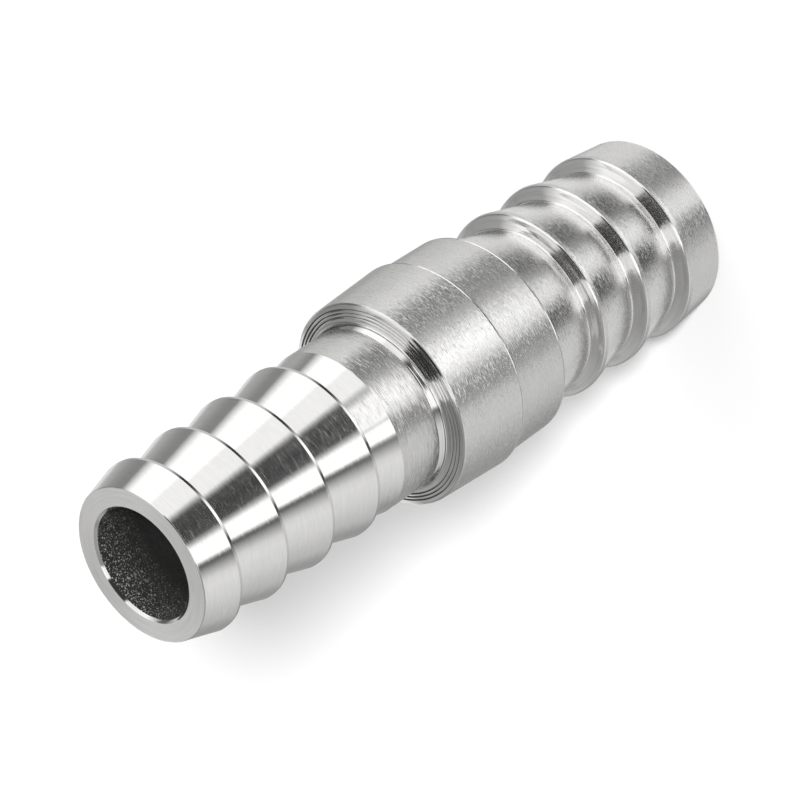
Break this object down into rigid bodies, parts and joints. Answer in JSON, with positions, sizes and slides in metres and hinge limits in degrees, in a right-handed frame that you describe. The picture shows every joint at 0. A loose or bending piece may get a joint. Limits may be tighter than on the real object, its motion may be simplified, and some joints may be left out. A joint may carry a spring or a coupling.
{
  "type": "hose barb reducer",
  "caption": "Straight turned steel joiner with barbed tails for two hose sizes, either side of a stepped collar.",
  "frame": {"origin": "centre of the large tail's end face, which the part stands on", "axes": "+Z along the bore axis, towards the small tail"},
  "size_m": [0.0172, 0.0172, 0.056],
  "materials": {
    "turned_steel": "turned stainless steel, polished barbs and a brushed satin collar and neck"
  },
  "bodies": {
    "root": {"reducer_body": "turned_steel"}
  },
  "joints": []
}
